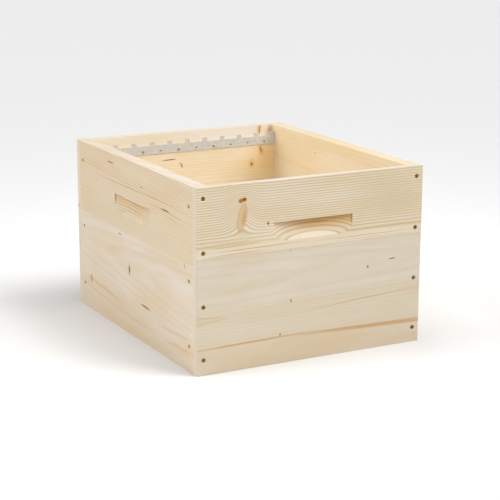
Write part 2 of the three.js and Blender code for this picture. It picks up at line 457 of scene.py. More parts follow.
def fastener_holes():
    """The box and maker of every fastener's hole."""
    kinds = (
        ("screw_", screw_hole, screw_place),
        ("nail_", nail_hole, nail_place),
        ("tack_", tack_hole, tack_place),
    )
    for start, profile, place in kinds:
        for node in nodes_named(start):
            low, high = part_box(node)

            def make_hole(node=node, profile=profile, place=place):
                return move(turned("hole", profile(), HOLE_SIDES), place(node))

            yield low, high, make_hole


def strip_holes(wall):
    """Where the spacer strip is punched: (x, z), and whether a tack fills the hole."""
    tacks = [(a + b) / 2 for a, b in map(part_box, nodes_named(f"tack_{wall}_"))]
    for gap in range(FRAME_COUNT):
        x = (gap - (FRAME_COUNT - 1) / 2) * FRAME_PITCH
        yield x, tacks[0].z, any(abs(tack.x - x) < MM for tack in tacks)


def pilot_holes(wall):
    """The punch also marked the wood behind the holes that got no tack."""
    _, inward = WALL_AXES[wall]
    low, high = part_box(f"{wall}_spacer_strip")
    face = low.y if inward.y < 0 else high.y
    for x, z, filled in strip_holes(wall):
        if not filled:
            hole = turned("pilot", PILOT_HOLE, HOLE_SIDES)
            yield move(hole, axis_matrix(Vector((x, face, z)), -inward))


def make_screw(node, material):
    """Countersunk screw with a cross recess and a cut thread."""
    profile = [
        (0, 0),
        (SCREW_HEAD - 0.25 * MM, 0),
        (SCREW_HEAD, 0.15 * MM),
        (SCREW_HEAD, 0.5 * MM),
        (SCREW_SHANK, SCREW_HEAD_HEIGHT),
        (SCREW_SHANK, THREAD_START),
        (SCREW_ROOT, THREAD_START + 0.6 * MM),
    ]
    turns = int((SCREW_LENGTH - SCREW_POINT - THREAD_START) / THREAD_PITCH)
    for turn in range(1, turns):
        crest = THREAD_START + turn * THREAD_PITCH
        profile.append((SCREW_ROOT, crest - THREAD_FLANK))
        profile.append((SCREW_SHANK, crest))
        profile.append((SCREW_ROOT, crest + THREAD_FLANK))
    profile += [(SCREW_ROOT, SCREW_LENGTH - SCREW_POINT), (0, SCREW_LENGTH)]
    screw = turned(f"{node}_steel", profile, FASTENER_SIDES)
    taper = [(-RECESS_ARM, -OVERCUT), (RECESS_ARM, -OVERCUT)]
    taper += [(RECESS_FOOT, RECESS_DEPTH), (-RECESS_FOOT, RECESS_DEPTH)]
    for turn in (0, math.pi / 2):
        bar = prism("bar", taper, -RECESS_HALF_WIDTH, RECESS_HALF_WIDTH)
        carve(screw, move(bar, Matrix.Rotation(turn, 4, "Y")))
    smooth(screw, ROUND_CREASE)
    move(screw, screw_place(node))
    dress(screw, material, node)


def make_nail(node, material):
    """Round nail with a flat head, rounded at its rim."""
    profile = [
        (0, 0),
        (NAIL_HEAD - 0.35 * MM, 0),
        (NAIL_HEAD - 0.1 * MM, 0.1 * MM),
        (NAIL_HEAD, 0.35 * MM),
        (NAIL_HEAD, 0.7 * MM),
        (NAIL_SHANK, NAIL_HEAD_HEIGHT),
        (NAIL_SHANK, NAIL_LENGTH - NAIL_POINT),
        (0, NAIL_LENGTH),
    ]
    nail = turned(f"{node}_steel", profile, FASTENER_SIDES)
    smooth(nail, ROUND_CREASE)
    move(nail, nail_place(node))
    dress(nail, material, node)


def make_tack(node, material):
    """Tack with a domed head."""
    profile = []
    for step in range(TACK_DOME_STEPS + 1):
        angle = math.pi / 2 * step / TACK_DOME_STEPS
        across = TACK_HEAD * math.sin(angle)
        profile.append((across, TACK_HEAD_HEIGHT * (1 - math.cos(angle))))
    profile += [
        (TACK_SHANK, TACK_HEAD_HEIGHT),
        (TACK_SHANK, TACK_LENGTH - TACK_POINT),
        (0, TACK_LENGTH),
    ]
    tack = turned(f"{node}_steel", profile, FASTENER_SIDES)
    smooth(tack, ROUND_CREASE)
    move(tack, tack_place(node))
    dress(tack, material, node)


# ---------------- spacer strip


def corner_arc(corner, before, after, radius, steps=4):
    """Points of a rounded corner of an outline."""
    into, out = (corner - before).normalized(), (after - corner).normalized()
    start, end = corner - into * radius, corner + out * radius
    points = []
    for step in range(steps + 1):
        t = step / steps
        points.append(start * (1 - t) ** 2 + corner * (2 * t * (1 - t)) + end * t**2)
    return points


def make_strip(wall, material):
    """Toothed sheet-steel strip with a row of punched holes."""
    node = f"{wall}_spacer_strip"
    low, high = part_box(node)
    notch = high.z - TOOTH_HEIGHT
    corners = [(low.x, low.z, False), (high.x, low.z, False)]
    for tooth in range(FRAME_COUNT, -1, -1):
        centre = (tooth - FRAME_COUNT / 2) * FRAME_PITCH
        right, left = centre + TOOTH_WIDTH / 2, centre - TOOTH_WIDTH / 2
        if tooth < FRAME_COUNT:
            corners.append((right, notch, True))
        corners += [(right, high.z, True), (left, high.z, True)]
        if tooth > 0:
            corners.append((left, notch, True))
    outline = []
    for index, (x, z, rounded) in enumerate(corners):
        here = Vector((x, z))
        if not rounded:
            outline.append(here)
            continue
        before = Vector(corners[index - 1][:2])
        after = Vector(corners[(index + 1) % len(corners)][:2])
        outline += corner_arc(here, before, after, TOOTH_ROUND)
    strip = prism(f"{node}_sheet", outline, -high.y, -low.y)
    move(strip, Matrix.Rotation(math.pi / 2, 4, "X"))
    soften(strip, lambda a, b: STRIP_EDGE if abs(a.y - b.y) < SAME_PLACE else 0)
    reach = OVERCUT * 2
    for x, z, _ in strip_holes(wall):
        punch = turned("punch", [(0, 0), (1, 0), (1, 1), (0, 1)], HOLE_SIDES)
        size = Vector((STRIP_HOLE_RADIUS, high.y - low.y + 2 * reach, STRIP_HOLE_RADIUS))
        move(punch, Matrix.Diagonal((*size, 1)))
        move(punch, Matrix.Translation((x, low.y - reach, z)))
        carve(strip, punch)
    smooth(strip, FLAT_CREASE)
    dress(strip, material, node)


# ---------------- shader helpers


class Graph:
    """Adds nodes to a node tree, and is called g. A value is a number, a tuple or a socket."""

    def __init__(self, tree):
        self.tree = tree

    def feed(self, socket, value):
        if isinstance(value, bpy.types.NodeSocket):
            self.tree.links.new(value, socket)
        elif value is not None:
            socket.default_value = value

    def node(self, kind, inputs=(), **settings):
        made = self.tree.nodes.new(f"ShaderNode{kind}")
        for name, value in settings.items():
            setattr(made, name, value)
        pairs = inputs.items() if isinstance(inputs, dict) else enumerate(inputs)
        for key, value in pairs:
            self.feed(made.inputs[key], value)
        return made

    def math(self, operation, *values, clamp=False):
        return self.node("Math", values, operation=operation, use_clamp=clamp).outputs[0]

    def times(self, product, *factors):
        for factor in factors:
            product = self.math("MULTIPLY", product, factor)
        return product

    def all_but(self, share, mask):
        return self.math("MULTIPLY_ADD", mask, -share, 1.0)

    def vector(self, operation, *values):
        made = self.node("VectorMath", operation=operation)
        for index, value in enumerate(values):
            self.feed(made.inputs[3 if operation == "SCALE" and index == 1 else index], value)
        single = operation in ("DOT_PRODUCT", "LENGTH")
        return made.outputs[1 if single else 0]

    def join(self, x, y, z):
        return self.node("CombineXYZ", (x, y, z)).outputs[0]

    def split(self, vector):
        return self.node("SeparateXYZ", (vector,)).outputs

    def noise(self, at, detail=2.0, roughness=0.5, colour=False):
        values = {"Vector": at, "Scale": 1.0, "Detail": detail, "Roughness": roughness}
        return self.node("TexNoise", values).outputs[1 if colour else 0]

    def ramp(self, value, low, high, to_low=0.0, to_high=1.0):
        values = (value, low, high, to_low, to_high)
        return self.node("MapRange", values, interpolation_type="SMOOTHSTEP").outputs[0]

    def mix(self, factor, a, b, blend="MIX"):
        made = self.node("Mix", data_type="RGBA", blend_type=blend)
        for index, value in ((0, factor), (6, a), (7, b)):
            self.feed(made.inputs[index], value)
        return made.outputs[2]

    def use(self, group, **values):
        made = self.node("Group")
        made.node_tree = group
        for name, value in values.items():
            self.feed(made.inputs[name.replace("_", " ")], value)
        return made.outputs


def new_group(name, inputs, outputs):
    """A node group. inputs and outputs map a name to Float, Vector or Color."""
    tree = bpy.data.node_groups.new(name, "ShaderNodeTree")
    for names, way in ((inputs, "INPUT"), (outputs, "OUTPUT")):
        for label, kind in names.items():
            tree.interface.new_socket(label, in_out=way, socket_type=f"NodeSocket{kind}")
    entry = tree.nodes.new("NodeGroupInput").outputs
    leave = tree.nodes.new("NodeGroupOutput").inputs
    return tree, entry, leave


def new_material(name):
    """A material with an empty tree but for its shader and output."""
    material = bpy.data.materials.new(name)
    material.use_nodes = True
    graph = Graph(material.node_tree)
    shader = material.node_tree.nodes["Principled BSDF"]
    return material, graph, shader


def srgb(red, green, blue):
    """A colour given as 0-255 display values, as linear RGBA."""
    def linear(value):
        value /= 255
        return value / 12.92 if value <= 0.04045 else ((value + 0.055) / 1.055) ** 2.4

    return (linear(red), linear(green), linear(blue), 1.0)


# ---------------- wood groups


def make_ring_group():
    """Growth rings round a pith that lies nearly along the board. Rings widen outwards."""
    numbers = ["Pith depth", "Pith height", "Depth drift", "Height drift", "Ring width"]
    numbers += ["Growth", "Wave", "Uneven", "Seed"]
    inputs = {"Place": "Vector", **dict.fromkeys(numbers, "Float")}
    tree, given, result = new_group("growth_rings", inputs, {"Line": "Float", "Ring": "Float"})
    g = Graph(tree)
    seed = g.times(given["Seed"], 17.3)

    def wander(size, detail, roughness, reach):
        """An uneven offset of up to about half the reach, that changes over that size."""
        at = g.vector("DIVIDE", given["Place"], size)
        at = g.vector("ADD", at, g.join(seed, seed, seed))
        drift = g.vector("SUBTRACT", g.noise(at, detail, roughness, colour=True), (0.5, 0.5, 0.5))
        return g.vector("SCALE", drift, g.times(given["Wave"], reach))

    slow = wander((260, 80, 70), 1.5, 0.4, 3.0)
    fine = wander((60, 14, 12), 1.0, 0.5, 1.0)
    moved = g.vector("ADD", given["Place"], g.vector("ADD", slow, fine))
    u, v, z = g.split(moved)
    depth = g.math("SUBTRACT", v, given["Pith depth"])
    depth = g.math("SUBTRACT", depth, g.times(u, given["Depth drift"]))
    height = g.math("SUBTRACT", z, given["Pith height"])
    height = g.math("SUBTRACT", height, g.times(u, given["Height drift"]))
    radius = g.vector("LENGTH", g.join(0.0, depth, height))
    wider = g.math("DIVIDE", g.times(radius, given["Growth"]), given["Ring width"])
    count = g.math("LOGARITHM", g.math("ADD", wider, 1.0), math.e)
    count = g.math("DIVIDE", count, given["Growth"])
    uneven = g.noise(g.join(g.times(count, 0.31), seed, 0.0), 1.0)
    count = g.math("MULTIPLY_ADD", uneven, given["Uneven"], count)
    ring = g.math("FLOOR", count)
    part = g.math("SUBTRACT", count, ring)
    # Late wood darkens slowly through a ring and stops at the ring's end.
    rise = g.ramp(part, 0.42, 0.84)
    fall = g.ramp(part, 0.90, 1.0, 1.0, 0.0)
    draw = g.node("TexWhiteNoise", noise_dimensions="1D")
    g.feed(draw.inputs["W"], g.math("ADD", ring, seed))
    weak = g.times(draw.outputs["Value"], given["Uneven"], 0.3)
    strong = g.math("SUBTRACT", 1.0, weak)
    g.feed(result["Line"], g.times(rise, fall, strong))
    g.feed(result["Ring"], count)
    return tree


def make_push_group():
    """Lifts the grain over a knot: places above its foot are read from closer to the foot."""
    inputs = {"Place": "Vector", "Centre": "Vector", "Spread": "Vector", "Strength": "Float"}
    tree, given, result = new_group("grain_push", inputs, {"Place": "Vector"})
    g = Graph(tree)
    away = g.vector("SUBTRACT", given["Place"], given["Centre"])
    length = g.vector("LENGTH", g.vector("DIVIDE", away, given["Spread"]))
    fade = g.math("EXPONENT", g.times(g.times(length, length), -1.0))
    above = g.math("MAXIMUM", g.split(away)[2], 0.0)
    pull = g.times(above, g.times(fade, given["Strength"]))
    g.feed(result["Place"], g.vector("SUBTRACT", given["Place"], g.join(0.0, 0.0, pull)))
    return tree


def make_mark_group():
    """Mask of a knot, pocket or streak: a soft ellipsoid with an uneven outline."""
    inputs = dict.fromkeys(["Place", "Centre", "Size"], "Vector")
    inputs.update(dict.fromkeys(["Turn", "Soft", "Ragged", "Wander"], "Float"))
    tree, given, result = new_group("wood_mark", inputs, {"Mask": "Float"})
    g = Graph(tree)
    away = g.vector("SUBTRACT", given["Place"], given["Centre"])
    turn = g.node("VectorRotate", rotation_type="Y_AXIS")
    g.feed(turn.inputs["Vector"], away)
    g.feed(turn.inputs["Angle"], given["Turn"])
    u, v, z = g.split(turn.outputs[0])
    along = g.join(g.math("DIVIDE", u, 38.0), 0.0, 0.0)
    sway = g.noise(g.vector("ADD", along, given["Centre"]), 1.0)
    sway = g.times(g.math("SUBTRACT", sway, 0.5), given["Wander"])
    swayed = g.join(u, v, g.math("ADD", z, sway))
    length = g.vector("LENGTH", g.vector("DIVIDE", swayed, given["Size"]))
    rough = g.noise(g.vector("SCALE", given["Place"], 0.9), 2.0)
    rough = g.times(g.math("SUBTRACT", rough, 0.5), given["Ragged"])
    length = g.math("ADD", length, rough)
    inner = g.math("SUBTRACT", 1.0, given["Soft"])
    g.feed(result["Mask"], g.ramp(length, inner, 1.0, 1.0, 0.0))
    return tree


GROWTH_RINGS = make_ring_group()
GRAIN_PUSH = make_push_group()
WOOD_MARK = make_mark_group()

# ---------------- timber data

# Places on a wall are (u, z) in millimetres of the wall's own frame.


@dataclass
class Mark:
    """A knot, resin pocket or streak in the wood."""

    centre: tuple
    size: tuple
    colour: tuple
    strength: float = 1.0
    turn: float = 0.0
    soft: float = 0.5
    ragged: float = 0.5
    depth: float = 4.0
    wander: float = 0.0


@dataclass
class Push:
    """A place that the growth rings bend round."""

    centre: tuple
    spread: tuple
    strength: float


@dataclass
class Timber:
    """How a board was sawn from its tree, and how it looks."""

    pith: tuple
    ring: float
    contrast: float
    pale: tuple
    warm: tuple
    late: tuple
    seed: float
    drift: tuple = (0.0, 0.0)
    growth: float = 0.002
    wave: float = 1.0
    uneven: float = 1.4
    # Strength of the handhold's painted light and shade and of its browning.
    hold_shading_and_burn: float = 0.5
    marks_inside: bool = False
    marks: list = field(default_factory=list)
    pushes: list = field(default_factory=list)


def streak(start, end, width, colour, strength, wander=1.5):
    """A long thin mark between two places."""
    (u0, z0), (u1, z1) = start, end
    half = math.hypot(u1 - u0, z1 - z0) / 2
    return Mark(
        centre=((u0 + u1) / 2, (z0 + z1) / 2),
        size=(half, width / 2),
        colour=colour,
        strength=strength,
        turn=math.atan2(z1 - z0, u1 - u0),
        soft=0.7,
        ragged=0.9,
        depth=6.0,
        wander=wander,
    )


RESIN = srgb(136, 80, 20)
KNOT_PALE = srgb(216, 186, 144)
KNOT_DARK = srgb(204, 162, 114)
KNOT_LINE = srgb(186, 146, 98)
DOT = srgb(150, 106, 58)
BARK = srgb(92, 64, 32)
AMBER = srgb(198, 160, 100)
TOFFEE = srgb(188, 138, 78)
ORANGE = srgb(212, 160, 84)
BLUSH = srgb(212, 184, 142)
LIT_CREAM = srgb(240, 226, 204)
MEADOW = srgb(217, 202, 173)
STRAW = srgb(207, 189, 155)
COPPER = srgb(168, 110, 34)
HONEY = srgb(236, 196, 118)
CHESTNUT = srgb(150, 106, 46)

TIMBER = {
    "front_upper": Timber(
        pith=(33, 203),
        ring=2.2,
        growth=0.0208,
        contrast=0.84,
        pale=srgb(226, 215, 195),
        warm=srgb(222, 206, 179),
        late=srgb(199, 167, 110),
        seed=1,
        wave=0.35,
        uneven=0.35,
        hold_shading_and_burn=1.0,
        marks=[
            Mark((-133, 225), (20, 11), MEADOW, 0.75, soft=1.0, ragged=0.3, depth=20),
            Mark((-133, 256), (9.8, 26.5), KNOT_LINE, 0.6, turn=-0.2, soft=0.25, depth=40),
            Mark((-133.3, 255.5), (8.2, 24), KNOT_PALE, 0.9, turn=-0.2, soft=0.3, depth=40),
            Mark((-129.5, 256), (5.0, 19), KNOT_DARK, 0.85, turn=-0.16, soft=0.7, depth=40),
            Mark((-132, 284.8), (11, 6.5), AMBER, 0.9, turn=0.15, soft=0.8),
            Mark((-135.4, 283.8), (5.0, 4.2), COPPER, 1.0, soft=0.5),
            Mark((-128.8, 285.8), (4.9, 3.8), RESIN, 1.0, soft=0.5),
            Mark((-85, 242), (2.6, 4.4), DOT, 1.0, soft=0.6),
            Mark((-70, 213), (230, 20), MEADOW, 0.5, soft=1.0, ragged=0.2, depth=30),
            Mark((150, 262), (120, 66), STRAW, 0.6, soft=1.0, ragged=0.2, depth=12),
            streak((-216, 197), (-60, 198), 2.2, AMBER, 0.8),
            streak((-216, 203), (10, 205), 2.4, AMBER, 0.9),
            streak((-216, 209.5), (-70, 212), 2.2, AMBER, 0.8),
            streak((-216, 215.5), (-90, 218), 2.0, AMBER, 0.7),
            streak((-30, 203), (230, 202), 2.0, AMBER, 0.75),
            streak((20, 198), (230, 197), 1.8, AMBER, 0.6),
            streak((76, 215), (230, 217), 1.8, AMBER, 0.5),
        ],
        pushes=[
            Push((-133, 225), (21, 55), 0.82),
            Push((-85, 237), (8, 9), 0.4),
        ],
    ),
    "front_lower": Timber(
        pith=(85, 150),
        drift=(0.01, 0.012),
        ring=3.6,
        contrast=0.27,
        pale=srgb(217, 208, 191),
        warm=srgb(213, 198, 173),
        late=srgb(200, 174, 130),
        seed=2,
        wave=0.8,
        marks=[
            Mark((-43, 192), (2.0, 2.0), DOT, 0.5, soft=0.7),
            Mark((108, 146), (2.4, 3.4), DOT, 1.0, soft=0.6),
            Mark((157, 155), (9, 1.5), BARK, 0.9, turn=0.06, soft=0.7),
            Mark((-41, 106), (2.4, 3.2), DOT, 0.9, soft=0.6),
            Mark((-61, 50), (2.4, 3.2), DOT, 1.0, soft=0.6),
            streak((-262, 42), (30, 48), 4.0, TOFFEE, 0.9),
            streak((-110, 46.5), (420, 32.5), 9.0, AMBER, 0.55),
            streak((-100, 47.5), (300, 38), 3.6, TOFFEE, 0.95),
            streak((-60, 44), (330, 34), 3.0, TOFFEE, 0.8),
            streak((40, 46), (330, 40), 2.0, TOFFEE, 0.6),
            streak((-70, 81), (260, 102), 2.4, TOFFEE, 0.6, wander=3),
            streak((-240, 101), (-150, 91), 3.5, AMBER, 0.4),
            streak((-240, 84), (-150, 92), 3.5, AMBER, 0.4),
            Mark((0, 20), (420, 75), BLUSH, 0.45, soft=1.0, ragged=0.2, depth=60),
        ],
    ),
    "left_upper": Timber(
        pith=(45, 110),
        drift=(0.0, 0.035),
        ring=3.5,
        contrast=1.0,
        pale=srgb(227, 211, 186),
        warm=srgb(223, 203, 172),
        late=srgb(198, 166, 120),
        seed=3,
        wave=0.5,
        uneven=1.1,
        hold_shading_and_burn=0.6,
        marks=[
            Mark((93, 295), (18, 1.8), CHESTNUT, 1.0, soft=0.6),
            Mark((-133, 253), (21, 2.2), CHESTNUT, 1.0, soft=0.6),
            Mark((-133, 253), (10, 1.2), BARK, 0.8, soft=0.6),
            Mark((-40, 275), (8, 1.4), TOFFEE, 0.9, soft=0.7),
            streak((-196, 240), (-110, 247), 2.0, AMBER, 0.6),
            Mark((93, 295), (16, 3.2), AMBER, 0.35, soft=0.9),
            Mark((-222, 277), (7, 5), ORANGE, 0.8, soft=0.7),
            Mark((0, 196), (340, 70), MEADOW, 0.65, soft=1.0, ragged=0.2, depth=12),
            streak((225, 262), (-235, 266), 3.0, TOFFEE, 0.55, wander=3),
            streak((-50, 256), (-240, 247), 2.6, AMBER, 0.7, wander=3),
        ],
    ),
    "left_lower": Timber(
        pith=(95, 130),
        drift=(0.03, 0.03),
        ring=5.0,
        contrast=0.28,
        pale=srgb(224, 213, 198),
        warm=srgb(220, 202, 174),
        late=srgb(204, 178, 136),
        seed=4,
        marks=[
            Mark((56, 173), (9, 2.0), DOT, 0.8, soft=0.7),
            Mark((16, 117), (5.4, 15), TOFFEE, 0.7, soft=0.7),
            Mark((16, 117), (3.4, 9), BARK, 0.9, soft=0.7),
            Mark((191, 59.5), (6.5, 11), TOFFEE, 0.7, soft=0.5),
            Mark((191, 59.5), (3.4, 8), AMBER, 0.7, soft=0.6),
            Mark((-52, 65.5), (28, 3.6), ORANGE, 0.9, turn=0.03, soft=0.8),
            Mark((-50, 66.2), (24, 2.2), CHESTNUT, 1.0, turn=0.03, soft=0.6),
            Mark((-206, 176), (3.4, 8), TOFFEE, 0.7, soft=0.7),
            Mark((-222, 154), (8, 4), AMBER, 0.8, soft=0.7),
            Mark((-222, 44), (7, 5), ORANGE, 0.8, soft=0.7),
            streak((260, 66), (20, 46), 9.0, AMBER, 0.4, wander=8),
            streak((260, 48), (60, 34), 7.0, AMBER, 0.35, wander=8),
            streak((120, 36), (-130, 26), 10.0, AMBER, 0.3, wander=8),
            streak((-90, 48), (-260, 56), 8.0, AMBER, 0.35, wander=8),
            streak((-110, 28), (-260, 34), 7.0, AMBER, 0.35, wander=8),
            Mark((0, 10), (420, 80), BLUSH, 0.4, soft=1.0, ragged=0.2, depth=60),
        ],
    ),
    "back_upper": Timber(
        pith=(-60, 190),
        drift=(0.0, -0.01),
        ring=2.4,
        contrast=0.4,
        pale=srgb(227, 212, 186),
        warm=srgb(224, 204, 166),
        late=srgb(211, 176, 112),
        seed=5,
        marks_inside=True,
        marks=[
            streak((-60, 261), (-19, 262), 3.4, COPPER, 1.0, wander=0),
            streak((-46, 261.4), (-22, 261.9), 2.0, BARK, 0.8, wander=0),
            Mark((-12, 248), (2.4, 6), CHESTNUT, 0.9, turn=0.3, soft=0.6),
            Mark((-15, 253), (5, 2.4), DOT, 0.6, soft=0.8),
            Mark((172, 250), (85, 70), HONEY, 0.5, soft=1.0, depth=8),
            Mark((172, 250), (30, 44), ORANGE, 0.2, soft=1.0, ragged=0.9, depth=8),
            Mark((139, 240), (11, 14), ORANGE, 0.6, soft=1.0),
            Mark((139, 238), (3.4, 4.4), CHESTNUT, 1.0, soft=0.6),
            Mark((162, 303), (9, 17), ORANGE, 0.7, soft=1.0),
            Mark((184, 304), (8, 13), ORANGE, 0.6, soft=1.0),
            Mark((163, 303), (2.4, 15), CHESTNUT, 0.9, turn=-0.1, soft=0.8, ragged=1.2),
            Mark((185, 304), (2.0, 11), TOFFEE, 0.9, soft=0.8, ragged=0.9),
            Mark((160, 264), (9, 14), ORANGE, 0.8, turn=0.2, soft=1.0),
            Mark((159, 266), (2.6, 10), CHESTNUT, 0.9, turn=0.3, soft=0.8, ragged=1.2),
        ],
        pushes=[Push((164, 255), (24, 50), 0.6)],
    ),
    "back_lower": Timber(
        pith=(90, 90),
        drift=(0.01, 0.0),
        ring=4.4,
        contrast=0.35,
        pale=srgb(222, 208, 180),
        warm=srgb(219, 200, 162),
        late=srgb(204, 172, 122),
        seed=6,
        marks=[Mark((-215, 188), (3, 6), BARK, 0.9, soft=0.6, depth=10)],
    ),
    "right_upper": Timber(
        pith=(-75, 230),
        drift=(0.02, -0.02),
        ring=4.6,
        contrast=0.25,
        pale=srgb(224, 205, 172),
        warm=srgb(221, 198, 158),
        late=srgb(208, 174, 122),
        seed=7,
        marks_inside=True,
        marks=[Mark((68, 282), (3.4, 2.6), ORANGE, 0.9, soft=0.6)],
    ),
    "right_lower": Timber(
        pith=(70, 60),
        drift=(0.0, 0.02),
        ring=3.8,
        contrast=0.35,
        pale=srgb(222, 205, 174),
        warm=srgb(219, 198, 160),
        late=srgb(204, 172, 122),
        seed=8,
    ),
}

# ---------------- materials

END_GRAIN = srgb(222, 208, 190)
WORN = srgb(232, 222, 204)

# Tints that the wood's colour is multiplied by.
# Darkens the handhold towards its top: browning mixed with painted shade.
HOLD_SHADE_AND_BURN = srgb(249, 226, 187)
# Painted light: inner faces are brightened, and more so on the end walls' rebate above the ledge.
INNER_PAINTED_LIGHT = (1.13, 1.16, 1.23, 1.0)
REBATE_PAINTED_LIGHT = (1.0, 1.08, 1.28, 1.0)
# Painted shade: level faces such as the rim are darkened, by amounts that differ from wall to
# wall.
RIM_PAINTED_SHADE = {
    "front": (0.77, 0.79, 0.88, 1.0),
    "back": (0.77, 0.79, 0.88, 1.0),
    "left": (0.75, 0.78, 0.87, 1.0),
    "right": (0.81, 0.85, 0.96, 1.0),
}

# A face starts to count as turned a way at the first cosine, and counts fully at the second.
FACING = (0.75, 0.95)
WEAR_RADIUS = 1.6 * MM

# Sizes in millimetres, along the grain first.
PATCH_SIZE = (190, 60, 38)
FADE_SIZE = (130, 40, 26)
FIBRE_SIZE = (34, 0.9, 0.7)
PORE_SIZE = (5, 0.35, 0.3)
WEAR_SIZE = (9, 9, 9)

# In millimetres: the pale core's height above the handhold's foot (the core is partly painted
# light), how far below its top edge the browning and painted shade start and are full, and the
# places along the wall between which they fade.
CORE_HEIGHT = 11.0
SHADE_AND_BROWN_START = 25
SHADE_AND_BROWN_FULL = 9
SHADE_AND_BROWN_LEFT = -80.0
SHADE_AND_BROWN_RIGHT = 10.0


def wall_place(g, wall):
    """The shaded place in the wall's own frame, in millimetres."""
    along, inward = WALL_AXES[wall]
    outside = inward.dot(cad_low if sum(inward) > 0 else cad_high)
    at = g.vector("SCALE", g.node("TexCoord").outputs["Object"], 1 / MM)
    u = g.vector("DOT_PRODUCT", at, tuple(along))
    v = g.math("SUBTRACT", g.vector("DOT_PRODUCT", at, tuple(inward)), outside / MM)
    return g.join(u, v, g.split(at)[2])


def bend_grain(g, place, timber):
    """Where each place's grain is read from, once knots have pushed it aside."""
    for push in timber.pushes:
        values = {
            "Centre": (push.centre[0], 0.0, push.centre[1]),
            "Spread": (push.spread[0], 60.0, push.spread[1]),
            "Strength": push.strength,
        }
        place = g.use(GRAIN_PUSH, Place=place, **values)[0]
    return place


def growth_rings(g, place, timber):
    """The ring group, set for one board."""
    return g.use(
        GROWTH_RINGS,
        Place=place,
        Pith_depth=timber.pith[0],
        Pith_height=timber.pith[1],
        Depth_drift=timber.drift[0],
        Height_drift=timber.drift[1],
        Ring_width=timber.ring,
        Growth=timber.growth,
        Wave=timber.wave,
        Uneven=timber.uneven,
        Seed=timber.seed,
    )


def mark_depth(wall, timber, mark):
    """How far in the marked face lies: the rebate's wall is only a lip thick."""
    if not timber.marks_inside:
        return 0.0
    in_rebate = wall in END_WALLS and mark.centre[1] > (RIM - REST_DEPTH) / MM
    return (LIP if in_rebate else THICKNESS) / MM


def add_marks(g, wall, place, colour, timber):
    """Paints knots, pockets and streaks over the grain."""
    for mark in timber.marks:
        values = {
            "Centre": (mark.centre[0], mark_depth(wall, timber, mark), mark.centre[1]),
            "Size": (mark.size[0], mark.depth, mark.size[1]),
            "Turn": mark.turn,
            "Soft": mark.soft,
            "Ragged": mark.ragged,
            "Wander": mark.wander,
        }
        mask = g.use(WOOD_MARK, Place=place, **values)[0]
        colour = g.mix(g.times(mask, mark.strength), colour, mark.colour)
    return colour


def handhold_mask(g, place):
    """One on the handhold's dished face."""
    u, v, z = g.split(place)
    end, top, bottom = HOLD_LENGTH / 2 / MM, HOLD_TOP / MM, (HOLD_TOP - HOLD_HEIGHT) / MM
    within = g.ramp(g.math("ABSOLUTE", u), end + 1, end + 2, 1.0, 0.0)
    above = g.ramp(z, bottom - 1, bottom)
    below = g.ramp(z, top + 1, top + 2, 1.0, 0.0)
    # Behind the wall's face, and short of its inside.
    cut = g.times(g.ramp(v, 0.2, 0.8), g.ramp(v, 18.0, 19.0, 1.0, 0.0))
    return g.times(within, cut, g.times(above, below))


def handhold_shading_and_burn(g, place, colour, strength, across):
    """A pale core with an orange rim low in the handhold, the core partly painted light, and
    towards its top browning mixed with painted shade under the top edge.
    """
    u, _, z = g.split(place)
    scoop = g.times(handhold_mask(g, place), strength)
    low = g.math("SUBTRACT", z, (HOLD_TOP - HOLD_HEIGHT) / MM)
    size = (HOLD_FLAT / 2 / MM, 1.0, CORE_HEIGHT)
    core = g.vector("LENGTH", g.vector("DIVIDE", g.join(u, 0.0, low), size))
    core = g.math("MULTIPLY_ADD", g.math("SUBTRACT", g.noise(place, 1.0), 0.5), 0.06, core)
    pale = g.times(g.ramp(core, 0.9, 1.0, 1.0, 0.0), scoop)
    ring = g.times(g.ramp(core, 0.9, 0.98), g.ramp(core, 1.0, 1.14, 1.0, 0.0), scoop)
    # Painted light: the pale core brightens the dish's up-facing floor, along with the paler wood
    # it cuts into.
    colour = g.mix(g.times(pale, 0.7 * strength), colour, LIT_CREAM)
    colour = g.mix(g.times(ring, 0.6 * strength), colour, ORANGE)
    # Painted shade under the top edge, mixed with browning: it fades towards one end and is
    # weaker on end grain.
    height = g.ramp(z, HOLD_TOP / MM - SHADE_AND_BROWN_START, HOLD_TOP / MM - SHADE_AND_BROWN_FULL)
    along = g.ramp(u, SHADE_AND_BROWN_LEFT, SHADE_AND_BROWN_RIGHT, 0.15, 1.0)
    shade_and_brown = g.times(height, along, scoop, g.all_but(0.5, across))
    return g.mix(shade_and_brown, colour, HOLD_SHADE_AND_BURN, "MULTIPLY")


def edge_wear(g, place):
    """One along worn edges, broken up by noise, and nought elsewhere."""
    rounded = g.node("Bevel", {"Radius": WEAR_RADIUS}, samples=4).outputs[0]
    straight = g.node("NewGeometry").outputs["Normal"]
    turned_away = g.math("SUBTRACT", 1.0, g.vector("DOT_PRODUCT", rounded, straight))
    patchy = g.ramp(g.noise(g.vector("DIVIDE", place, WEAR_SIZE), 3.0, 0.6), 0.3, 0.7, 0.35, 1.0)
    return g.times(g.ramp(turned_away, 0.01, 0.2), patchy)


def end_grain(g, wall):
    """One on faces that cut across the board's grain."""
    normal = g.node("TexCoord").outputs["Normal"]
    across = g.math("ABSOLUTE", g.vector("DOT_PRODUCT", normal, tuple(WALL_AXES[wall][0])))
    return g.ramp(across, *FACING)


def facing_up(g):
    """One on the rim and other level faces."""
    return g.ramp(g.split(g.node("TexCoord").outputs["Normal"])[2], *FACING)


